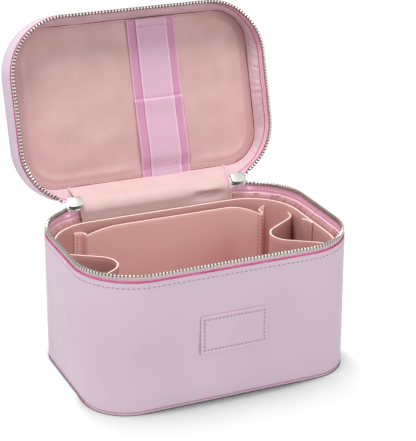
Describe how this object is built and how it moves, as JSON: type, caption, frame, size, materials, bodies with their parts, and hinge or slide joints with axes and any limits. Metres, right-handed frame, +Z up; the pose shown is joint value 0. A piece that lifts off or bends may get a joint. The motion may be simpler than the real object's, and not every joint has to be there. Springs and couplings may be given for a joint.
{
  "type": "makeup train case",
  "caption": "Zip-around train case with rounded corners, lined lid with brush elastic, lift-out pocketed insert, metal zip sliders and a top handle.",
  "frame": {"origin": "on the floor, under the middle of the body's rounded rectangle", "axes": "+Z up, -Y towards the front, +Y towards the hinge, +X to the right seen from the front"},
  "size_m": [0.23, 0.2379, 0.2689],
  "materials": {
    "lavender_leather": "smooth faux leather with a soft sheen",
    "board": "grey board",
    "foam": "soft foam",
    "pink_lining": "fine woven lining",
    "zip_tape": "woven zip tape",
    "zip_metal": "polished nickel",
    "elastic": "ribbed elastic",
    "insert_sheet": "faux leather sheet with cream edges"
  },
  "bodies": {
    "case": {"base_cover": "lavender_leather", "base_board": "board", "body_wall": "lavender_leather", "body_wall_board": "board", "body_lining": "pink_lining", "body_zip_tape": "zip_tape", "body_zip_teeth": "zip_metal", "front_patch": "lavender_leather", "hinge_strip": "lavender_leather", "hinge_lining": "pink_lining"},
    "lid": {"lid_wall": "lavender_leather", "lid_top_cover": "lavender_leather", "lid_foam": "foam", "lid_top_board": "board", "lid_wall_board": "board", "lid_lining_panel": "pink_lining", "lid_lining_band": "pink_lining", "lid_zip_tape": "zip_tape", "lid_zip_teeth": "zip_metal", "elastic_wide": "elastic", "elastic_narrow": "elastic", "handle_strap": "lavender_leather"},
    "slider_left": {"slider_left": "zip_metal"},
    "slider_right": {"slider_right": "zip_metal"},
    "pull_left": {"pull_left": "zip_metal"},
    "pull_right": {"pull_right": "zip_metal"},
    "insert": {"insert_wall": "insert_sheet", "insert_floor": "insert_sheet", "back_pocket": "insert_sheet", "left_pocket": "insert_sheet", "right_pocket": "insert_sheet"}
  },
  "joints": [
    {"name": "lid_hinge", "type": "hinge", "parent": "case", "child": "lid", "pos_m": [0, 0.0791, 0.118], "axis": [-1, 0, 0], "range_deg": [-106, 0], "deforming": ["hinge_strip", "hinge_lining"]},
    {"name": "slider_left_tilt", "type": "hinge", "parent": "case", "child": "slider_left", "pos_m": [0, 0.0791, 0.118], "axis": [-1, 0, 0], "range_deg": [-53, 0]},
    {"name": "pull_left_swing", "type": "hinge", "parent": "slider_left", "child": "pull_left", "pos_m": [-0.0745, 0.07956, 0.1174], "axis": [0, 0.7986, 0.6018], "range_deg": [-70, 70]},
    {"name": "slider_right_tilt", "type": "hinge", "parent": "case", "child": "slider_right", "pos_m": [0, 0.0791, 0.118], "axis": [-1, 0, 0], "range_deg": [-53, 0]},
    {"name": "pull_right_swing", "type": "hinge", "parent": "slider_right", "child": "pull_right", "pos_m": [0.0745, 0.07956, 0.1174], "axis": [0, 0.7986, 0.6018], "range_deg": [-70, 70]},
    {"name": "insert_lift", "type": "slide", "parent": "case", "child": "insert", "axis": [0, 0, 1], "range_m": [0, 0.025]}
  ],
  "couplings": [
    {"joint": "slider_left_tilt", "follows": "lid_hinge", "ratio": 0.5},
    {"joint": "slider_right_tilt", "follows": "lid_hinge", "ratio": 0.5}
  ]
}
